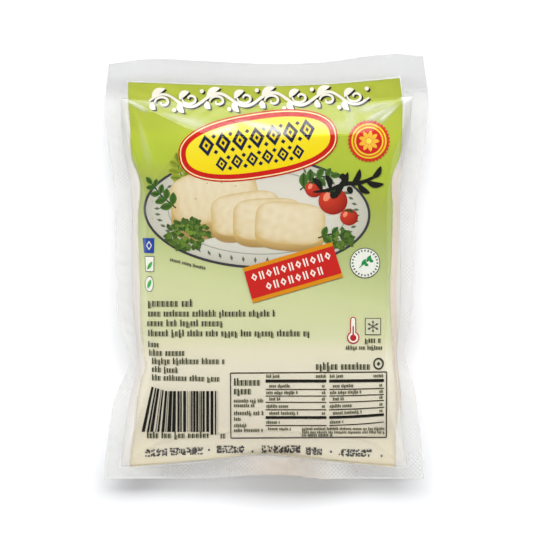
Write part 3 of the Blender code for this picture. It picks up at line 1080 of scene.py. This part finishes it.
def picturePatches():
    # The platter with lozenges round its rim, then all that lies on it, sorted by layer
    (cx, cy), (a, b), turn = platter["centre"], platter["half"], platter["turn"]
    rim = disc(cx, cy, a + platter["rim"], b + platter["rim"], turn, cell=platter["cell"])
    plate = disc(cx, cy, a, b, turn, cell=platter["cell"])
    plateColour = shade(platter["platePale"], platter["plate"], rimward(plate) ** 3)
    wellX, wellY = platter["wellAt"]
    motifX, motifY = platter["motifAt"]
    patches = [ink(rim, -1.4, platter["rimColour"]), ink(plate, 1.0, plateColour),
               ink(ring(cx, cy, a * wellX, b * wellY, platter["wellLine"], turn), 1.12, platter["well"])]
    for angle in around(platter["motifs"]):
        x, y = turned(cx, cy, turn, motifX * a * np.cos(angle), motifY * b * np.sin(angle))
        motif = lozenge(x, y, *platter["motifHalf"], np.degrees(angle))
        patches.append(ink(motif, 1.15, platter["motif"]))
    drawn = [(sprig, picture["sprigs"]), (pile, [picture["block"]]), (pile, picture["slices"]),
             (tomato, picture["tomatoes"]), (tuft, picture["tufts"])]
    for draws, entries in drawn:
        for entry in entries:
            patches += draws(*entry)
    for x, y in np.random.default_rng(21).uniform(*picture["pits"]):
        patches.append(ink(disc(x, y, *picture["pitHalf"]), 2.5, picture["pit"]))
    return sorted(patches, key=lambda patch: patch[2])


printPiece("printPicture", picturePatches())


# A round emblem, and a black olive sprig over the picture

emblem = {
    "centre": (365, 263), "radius": 15.2, "outline": "4c4f42", "disc": "e9ebe0", "dots": 24,
    "dotsRadius": 12.4, "dot": (1.5, 0.9), "line": 0.8, "green": "1f8a45", "leafWidth": 3.4,
    "stem": [(359, 268), (365, 263), (372, 258)],
    "leaves": [(-3.5, -1), (-1.0, 1), (1.5, -1), (4.0, 1)],      # how far right of the centre, and side
}
olive = {
    "black": "14150f", "stem": [(313, 192), (328, 190), (345, 184), (362, 182), (380, 174)],
    "leaves": [(322, 191, 312, 178), (330, 189, 326, 175), (338, 187, 348, 172), (352, 184, 360, 169),
               (344, 185, 336, 198), (358, 183, 370, 193), (366, 181, 384, 184), (372, 178, 381, 166)],
    "fruits": [(333, 195), (350, 190), (343, 177)],
    # width and taper of the stem, width and bend of a leaf, half-axes and turn of a fruit
    "stemLine": (4.0, 0.35), "leaf": (5.8, 0.12), "fruit": (3.0, 3.8, 20),
}


def emblemPatches():
    # A disc with an outline, a ring of dots, and a stem with leaves on both sides
    cx, cy = emblem["centre"]
    yield ink(disc(cx, cy, emblem["radius"]), 1.0, emblem["outline"])
    yield ink(disc(cx, cy, emblem["radius"] - emblem["line"]), 1.6, emblem["disc"])
    for angle in np.degrees(around(emblem["dots"])):
        x, y = turned(cx, cy, angle, emblem["dotsRadius"], 0)
        yield ink(lozenge(x, y, *emblem["dot"], angle), 2.2, emblem["outline"])
    yield ink(stroke(emblem["stem"], 1.0, 0.2), 2.2, emblem["green"])
    for u, side in emblem["leaves"]:
        x, y = cx + u, cy - 0.75 * u
        blade = leaf(x, y, x + 4.5, y + side * 4.2 - 2.5, emblem["leafWidth"])
        yield ink(blade, 2.6, emblem["green"])


def olivePatches():
    # A tapering stem with bent leaves and fruits
    black = olive["black"]
    yield ink(stroke(olive["stem"], *olive["stemLine"]), 5.0, black)
    yield from [ink(leaf(*ends, *olive["leaf"]), 5.3, black) for ends in olive["leaves"]]
    yield from [ink(disc(*place, *olive["fruit"]), 5.6, black) for place in olive["fruits"]]


printPiece("printEmblem", emblemPatches())
printPiece("printOliveSprig", olivePatches())


# A red ribbon with two rows of white lozenges and bars

ribbon = {
    "corners": [(243, 268), (332, 242), (343, 277), (253, 303)],
    "red": "c61f19", "orange": "d68a0c", "white": "f3e9de",
    # shares of the ribbon's width and height; a row has its middle and its number of motifs
    "edging": 0.11, "rows": [(0.33, 11), (0.67, 8)], "pitch": 0.082, "lozenge": 0.03224,
    "barShift": 0.016, "bar": 0.008, "high": 0.11,
}


def ribbonPatches():
    # Even motifs of a row are hollow lozenges, and odd ones pairs of upright bars
    def patch(places, layer, colour):
        return ink(quad([between(ribbon["corners"], *place) for place in places]), layer, ribbon[colour])

    def upright(low, high, top, foot):
        return [(low, top), (high, top), (high, foot), (low, foot)]

    edging = ribbon["edging"]
    yield patch(upright(0, 1, 0, 1), 5.0, "orange")
    yield patch(upright(0, 1, edging, 1 - edging), 5.5, "red")
    for t, count in ribbon["rows"]:
        for k in range(count):
            s = 0.5 + (k - (count - 1) / 2) * ribbon["pitch"]
            if k % 2 == 0:
                for share, layer, colour in ((1, 6.2, "white"), (0.4, 6.8, "red")):
                    a, b = share * ribbon["lozenge"], share * ribbon["high"]
                    yield patch([(s - a, t), (s, t - b), (s + a, t), (s, t + b)], layer, colour)
            else:
                for middle in (s - ribbon["barShift"], s + ribbon["barShift"]):
                    corners = upright(middle - ribbon["bar"], middle + ribbon["bar"],
                                      t - ribbon["high"], t + ribbon["high"])
                    yield patch(corners, 6.2, "white")


printPiece("printRibbon", ribbonPatches())


# Small signs: three at the left edge, and a thermometer and a snowflake

signs = {
    "blue": "26459a", "white": "eef0e4", "line": "5d6650", "green": "4fae52", "red": "b8262a",
    "grey": "55554c", "box": "d3d5b4", "snowflake": (373, 326.5), "snowReach": 6.0,
    "arm": 1.0, "tip": 1.4, "tipAt": 0.72,
}
signMarks = [
    (quad, [[(142.5, 238), (154.5, 238), (154, 253), (144, 253)]], 0.6, "blue"),
    (lozenge, [149, 245.5, 3.0, 4.8], 2.2, "white"),
    (lozenge, [149, 245.5, 1.9, 3.2], 3.6, "blue"),
    (quad, [[(144.6, 256), (154.4, 256), (154.2, 272), (145.4, 272)]], -0.6, "line"),
    (quad, [[(145.3, 256.8), (153.6, 256.8), (153.4, 271.2), (146.1, 271.2)]], 1.6, "white"),
    (leaf, [147.2, 269.5, 152.2, 261.5, 3.2], 3.6, "green"),
    (disc, [149.3, 284, 4.4, 8.0], -0.6, "line"),
    (disc, [149.3, 284, 3.8, 7.3], 1.6, "white"),
    (leaf, [147.6, 288.5, 150.8, 279.5, 3.4], 3.6, "green"),
    # thermometer: its bulb and tube as an outline, their white, and the filling
    (disc, [353.2, 337.6, 6.2], 1.0, "red"),
    (disc, [353.2, 322.5, 3.0, 5.6, 0.0, 3.0], 1.0, "red"),
    (bar, [350.2, 322, 356.2, 335], 1.05, "red"),
    (disc, [353.2, 337.6, 5.0], 1.7, "white"),
    (disc, [353.2, 322.5, 2.0, 4.6, 0.0, 3.0], 1.7, "white"),
    (bar, [351.2, 322, 355.2, 336], 1.75, "white"),
    (disc, [353.2, 337.8, 3.2], 2.5, "red"),
    (bar, [352.5, 326, 353.9, 336], 2.5, "red"),
    # box of the snowflake
    (bar, [365, 318, 381, 335], 1.0, "grey"),
    (bar, [365.8, 318.8, 380.2, 334.2], 1.6, "box"),
]


def signPatches():
    # The marks, then the snowflake's three arms with a lozenge near each end
    yield from inked(signMarks, signs)
    cx, cy = signs["snowflake"]
    for angle in np.radians((30, 90, 150)):
        dx, dy = signs["snowReach"] * np.cos(angle), signs["snowReach"] * np.sin(angle)
        arm = stroke([(cx - dx, cy - dy), (cx, cy), (cx + dx, cy + dy)], signs["arm"])
        yield ink(arm, 2.2, signs["grey"])
        for way in (-signs["tipAt"], signs["tipAt"]):
            tip = lozenge(cx + way * dx, cy + way * dy, signs["tip"], signs["tip"])
            yield ink(tip, 2.3, signs["grey"])


printPiece("printSigns", signPatches())


# Small print as rows of bars, with no letters

smallPrint = {
    "dark": "3a3a2c", "pale": "8d8c70",
    # in heights: width of a block, how tall and how often some are, how far down and how often
    # some reach, width of the stem, and the gaps between blocks and words
    "wide": (0.36, 0.7), "tall": (1.35, 0.28), "deep": (0.3, 0.1), "stem": 0.27, "gap": 0.16,
    "space": 0.5, "blocks": (3, 9),          # blocks of a word, from and up to
    # rows: from column, to column, base line row, height and slope
    "rows": [
        (148, 192, 306.6, 5.6, 0), (148, 275, 316.4, 4.9, 0), (147, 221, 326.1, 4.9, 0),
        (148, 308, 336.2, 4.9, 0), (148, 159, 347.0, 4.4, 0.05), (149, 184, 355.8, 4.8, 0),
        (152, 223, 364.0, 4.6, 0), (152, 176, 371.8, 4.4, 0.05), (152, 222, 380.2, 4.4, 0.02),
        (170, 206, 261.0, 2.4, 0.25), (316, 370, 369.6, 5.4, 0), (346, 383, 349.6, 3.3, 0),
        (365, 381, 342.8, 4.4, 0), (147, 209, 438.2, 4.8, 0), (220.5, 224, 438.6, 4.4, 0),
    ],
}
# a round sign at the end of one row
roundSign = [(ring, [378.6, 363.6, 4.6, 5.2, 1.6], 1.6, "dark"),
             (lozenge, [378.6, 363.6, 1.8, 2.2], 1.6, "dark")]


def greeking(x0, x1, base, height, slope, seed):
    # Words of narrow blocks, each with one darker stem, some of them taller
    draw = np.random.default_rng(seed)
    tall, tallShare = smallPrint["tall"]
    deep, deepShare = smallPrint["deep"]
    x, left = x0, draw.integers(*smallPrint["blocks"])
    while x < x1:
        wide = height * draw.uniform(*smallPrint["wide"])
        top = base - height * (tall if draw.random() < tallShare else 1.0) + slope * (x - x0)
        foot = base + height * (deep if draw.random() < deepShare else 0.0) + slope * (x - x0)
        yield ink(bar(x, foot - height, x + wide, foot), 1.0, smallPrint["pale"])
        yield ink(bar(x, top, x + smallPrint["stem"] * height, foot), 1.6, smallPrint["dark"])
        x += wide + smallPrint["gap"] * height
        left -= 1
        if left == 0:
            x += smallPrint["space"] * height
            left = draw.integers(*smallPrint["blocks"])


def smallPrintPatches():
    # Each row with a seed of its own, and the round sign
    for number, row in enumerate(smallPrint["rows"]):
        yield from greeking(*row, 100 + number)
    yield from inked(roundSign, smallPrint)


printPiece("printSmallRows", smallPrintPatches())


# A ruled table

table = {
    "box": [(230.5, 373.0), (386.8, 371.9), (386.4, 437.3), (230.9, 438.4)], "line": 1.1,
    "ink": "3c3222", "black": "15120d",
    # columns: left, right, and how far a rule rises to the right, which grows evenly from 0 at the
    # top row to that over so many rows
    "columns": [(265.6, 326.5, 0.0), (329.2, 384.0, 2.6)], "top": 372, "over": 40,
    "thinLine": 0.9, "textHeight": 2.5,
    "thick": [(380.9, 2.9), (417.4, 2.6)], "thin": [389.3, 395.9, 402.2, 409.6, 425.4],
    "text": [377.6, 387.4, 394.0, 400.4, 407.6, 414.6, 423.6],
    "side": [(234, 258, 385.4, 5.4), (234, 249, 394.2, 5.4), (234, 262, 402.4, 2.8), (234, 253, 407.0, 2.8),
             (234, 262, 415.0, 3.2), (234, 241, 420.6, 2.8), (234, 247, 427.0, 2.6), (234, 262, 432.2, 3.0)],
    "foot": [(268, 290, 430.2, 2.4), (302, 384, 430.0, 2.2), (302, 384, 433.4, 2.2), (302, 331, 436.8, 2.2)],
}


def tablePatches():
    # A box of four strokes, rules across two columns, and small print between them
    corners = table["box"]
    for start, end in zip(corners, corners[1:] + corners[:1]):
        middle = ((start[0] + end[0]) / 2, (start[1] + end[1]) / 2)
        yield ink(stroke([start, middle, end], table["line"]), 1.0, table["ink"])
    rules = [(row, width, table["black"]) for row, width in table["thick"]]
    rules += [(row, table["thinLine"], table["ink"]) for row in table["thin"]]
    for x0, x1, lift in table["columns"]:
        middle = (x0 + x1) / 2
        for row, width, colour in rules:
            rising = lift * (row - table["top"]) / table["over"]
            shape = stroke([(x0, row), (middle, row - 0.35 * rising), (x1, row - rising)], width)
            yield ink(shape, 1.6, colour)
        for number, row in enumerate(table["text"]):
            rising = lift * (row - table["top"]) / table["over"]
            slope = -rising / (x1 - x0)
            start, end = x0 + 0.8 + 3 * (number % 2), x0 + 14 + 9 * (number % 3)
            yield from greeking(start, end, row, table["textHeight"], slope, 200 + number)
            if number < 6:
                start, base = x1 - 4.5 - 6 * (number == 0), row - rising * 0.9
                yield from greeking(start, x1 - 2, base, table["textHeight"], slope, 220 + number)
    for number, (x0, x1, base, height) in enumerate(table["side"] + table["foot"]):
        yield from greeking(x0, x1, base, height, 0, 240 + number)


printPiece("printTable", tablePatches())


# Seeded stripes that fan out to the left, and a dotted code line

stripes = {
    "left": 151.5, "right": 218.0, "bottomLeft": 141.5, "fanTo": 178.0, "topLeft": 386.5, "top": 391.0,
    "bottom": 431.8, "long": 434.8, "longFrom": 208,      # where the longer stripes start
    "module": 0.72, "greyUnder": 1.2, "black": "17140f", "grey": "6d675c",
}
codeLine = {
    "dot": 0.98, "pitch": 1.18, "columns": 4, "rows": 6, "filled": 0.52, "colour": "241f16",
    # groups: first column, row of their middle at the left and at the right, number of figures
    "groups": [(146, 453.2, 452.2, 4), (170.5, 451.8, 450.8, 6), (217.5, 449.6, 449.2, 5),
               (262.5, 449.3, 449.2, 7), (306.5, 451.2, 451.6, 3), (339.5, 452.8, 453.4, 6)],
    "points": [(209, 450), (252.5, 451.5), (331, 452), (381.5, 456)], "figure": 5.6,
}


def stripePatches():
    # A stripe's foot stands left of its head by the fan's reach, which dies away as (1 - d)^1.3
    draw = np.random.default_rng(31)
    x = stripes["left"]
    while x < stripes["right"]:
        wide = stripes["module"] * draw.integers(1, 5)
        gap = stripes["module"] * draw.integers(1, 3)
        ends = []
        for head in (x, min(x + wide, stripes["right"])):
            near = np.clip((head - stripes["left"]) / (stripes["fanTo"] - stripes["left"]), 0, 1)
            fan = (stripes["left"] - stripes["bottomLeft"]) * (1 - near) ** 1.3
            top = stripes["topLeft"] + (stripes["top"] - stripes["topLeft"]) * min(1, 1.8 * near)
            ends.append((head, top, head - fan))
        (x0, y0, f0), (x1, y1, f1) = ends
        low = stripes["long"] if x > stripes["longFrom"] else stripes["bottom"]
        colour = stripes["black"] if wide > stripes["greyUnder"] * stripes["module"] else stripes["grey"]
        yield ink(quad([(x0, y0), (x1, y1), (f1, low), (f0, low)]), 1.0, colour)
        x += wide + gap


def codePatches():
    # Dot-matrix figures: a grid of places in each, of which a seeded share is inked
    draw = np.random.default_rng(41)
    dot, pitch = codeLine["dot"], codeLine["pitch"]
    for x0, leftRow, rightRow, count in codeLine["groups"]:
        for k in range(count):
            left = x0 + codeLine["figure"] * k
            top = leftRow + (rightRow - leftRow) * k / count - (codeLine["rows"] - 1) / 2 * pitch
            for column, row in np.ndindex(codeLine["columns"], codeLine["rows"]):
                if draw.random() < codeLine["filled"]:
                    shape = lozenge(left + column * pitch, top + row * pitch, dot, dot)
                    yield ink(shape, 1.0, codeLine["colour"])
    yield from [ink(disc(x, y, 1.0), 1.0, codeLine["colour"]) for x, y in codeLine["points"]]


printPiece("printStripes", stripePatches())
printPiece("printCodeLine", codePatches())


# Camera, light and floor

studio = {
    "sensor": 36.0, "floor": "f5f6f8", "floorHalf": 2.5, "world": 0.08,
    # softboxes: place, width, height, watts, and whether they show in the gloss or light the
    # colours; all face the pack
    "softboxes": [
        ((0.0, 1.6, 0.27), 3.2, 0.47, 11.5, "glossy"),       # low strip that glosses the upper slope
        ((0.0, 0.84, 1.10), 2.2, 0.70, 34.0, "diffuse"),     # key, which throws a short soft shadow
        ((0.0, -1.5, 0.13), 2.5, 0.22, 22.0, "diffuse"),     # low lights for the other slopes
        ((1.5, 0.0, 0.21), 0.3, 1.3, 7.0, "diffuse"),
        ((-1.5, 0.0, 0.21), 0.3, 1.3, 7.5, "diffuse"),
    ],
}


def makeFloor():
    # A square of matt board
    half = studio["floorHalf"]
    mesh = bpy.data.meshes.new("floor")
    corners = [(-half, -half, 0), (half, -half, 0), (half, half, 0), (-half, half, 0)]
    mesh.from_pydata(corners, [], [(0, 1, 2, 3)])
    material, tree = newMaterial("white painted board")
    finishMaterial(tree, addNode(tree, "BsdfPrincipled", None, {"Specular IOR Level": 0.1},
                                 Base_Color=linear(studio["floor"]), Roughness=0.9))
    mesh.materials.append(material)
    floor = bpy.data.objects.new("floor", mesh)
    bpy.context.scene.collection.objects.link(floor)


def makeLights():
    # Area lamps turned to the pack, and a faint even sky
    scene = bpy.context.scene
    for number, (place, width, height, watts, part) in enumerate(studio["softboxes"]):
        light = bpy.data.lights.new(f"softbox{number}", "AREA")
        light.shape, light.size, light.size_y, light.energy = "RECTANGLE", width, height, watts
        lamp = bpy.data.objects.new(f"softbox{number}", light)
        lamp.location = place
        lamp.rotation_euler = (Vector((0, 0, 0.01)) - Vector(place)).to_track_quat("-Z", "Y").to_euler()
        lamp.visible_camera = False
        lamp.visible_glossy = part == "glossy"
        lamp.visible_diffuse = part == "diffuse"
        scene.collection.objects.link(lamp)
    scene.world = bpy.data.worlds.new("studio")
    scene.world.use_nodes = True
    sky = scene.world.node_tree.nodes["Background"]
    sky.inputs["Color"].default_value = (1, 1, 1, 1)
    sky.inputs["Strength"].default_value = studio["world"]
    scene.view_settings.view_transform = "Standard"
    scene.view_settings.look = "None"


def makeCamera():
    # Straight above, far enough that a pixel is the measured size at the rim's level
    camera = bpy.data.objects.new("camera", bpy.data.cameras.new("camera"))
    camera.data.sensor_width = studio["sensor"]
    camera.data.lens = studio["sensor"] * photoFrame["distance"] / (photoFrame["pixel"] * photoFrame["size"])
    middle = photoFrame["size"] / 2
    x, y = planOf(middle, middle, packShape["rimLevel"])
    camera.location = (x * mm, y * mm, (photoFrame["distance"] + packShape["rimLevel"]) * mm)
    camera.data.clip_end = 10
    bpy.context.scene.collection.objects.link(camera)
    bpy.context.scene.camera = camera


makeFloor()
makeLights()
makeCamera()
